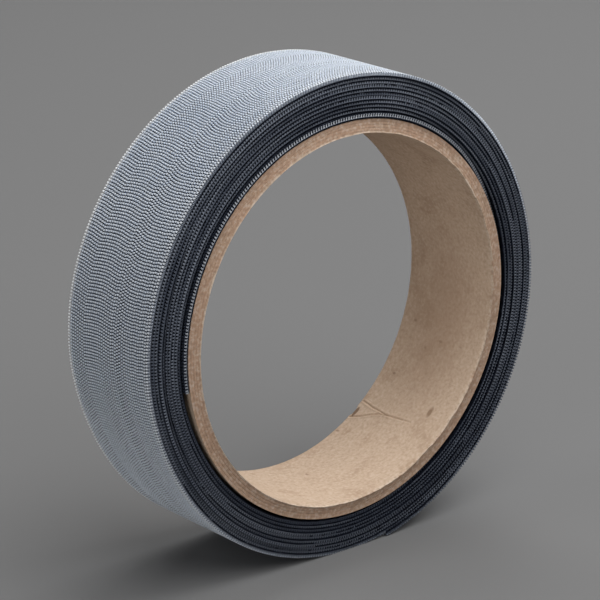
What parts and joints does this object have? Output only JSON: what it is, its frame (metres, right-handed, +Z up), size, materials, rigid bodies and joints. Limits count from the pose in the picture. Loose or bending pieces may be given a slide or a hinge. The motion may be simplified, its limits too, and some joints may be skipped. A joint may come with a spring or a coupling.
{
  "type": "hook and loop tape roll",
  "caption": "Roll of back-to-back hook and loop tape wound on a kraft paper core, hooks outside, with a free end that lifts and curls outwards.",
  "frame": {"origin": "on the surface that the roll stands on, straight below the middle of the core's bore", "axes": "+Z up, the roll's axis along Y, the face that the picture shows looks along -Y"},
  "size_m": [0.0996, 0.0258, 0.0982],
  "materials": {
    "kraft_board": "matt brown kraft board with fine fibres and specks",
    "pad_film": "thin double-sided adhesive film",
    "loop_fabric": "black-navy brushed loop knit",
    "hook_plastic": "moulded silver-grey translucent hooks on a thin film"
  },
  "bodies": {
    "roll": {"core_inner_ply": "kraft_board", "core_body_ply_1": "kraft_board", "core_body_ply_2": "kraft_board", "core_body_ply_3": "kraft_board", "core_outer_ply": "kraft_board", "start_pad": "pad_film", "loop_backing": "loop_fabric", "hook_strip": "hook_plastic"},
    "tail_1": {"loop_backing_tail_1": "loop_fabric", "hook_strip_tail_1": "hook_plastic"},
    "tail_2": {"loop_backing_tail_2": "loop_fabric", "hook_strip_tail_2": "hook_plastic"},
    "tail_3": {"loop_backing_tail_3": "loop_fabric", "hook_strip_tail_3": "hook_plastic"}
  },
  "joints": [
    {"name": "tail_lift", "type": "hinge", "parent": "roll", "child": "tail_1", "pos_m": [0.03485, 0, 0.013], "axis": [0, -1, 0], "range_deg": [0, 85]},
    {"name": "tail_curl_1", "type": "hinge", "parent": "tail_1", "child": "tail_2", "pos_m": [0.0274, 0, 0.00707], "axis": [0, -1, 0], "range_deg": [0, 45]},
    {"name": "tail_curl_2", "type": "hinge", "parent": "tail_2", "child": "tail_3", "pos_m": [0.01904, 0, 0.00251], "axis": [0, -1, 0], "range_deg": [0, 40]}
  ],
  "couplings": [
    {"joint": "tail_curl_1", "follows": "tail_lift", "ratio": 0.5294},
    {"joint": "tail_curl_2", "follows": "tail_lift", "ratio": 0.4705}
  ]
}
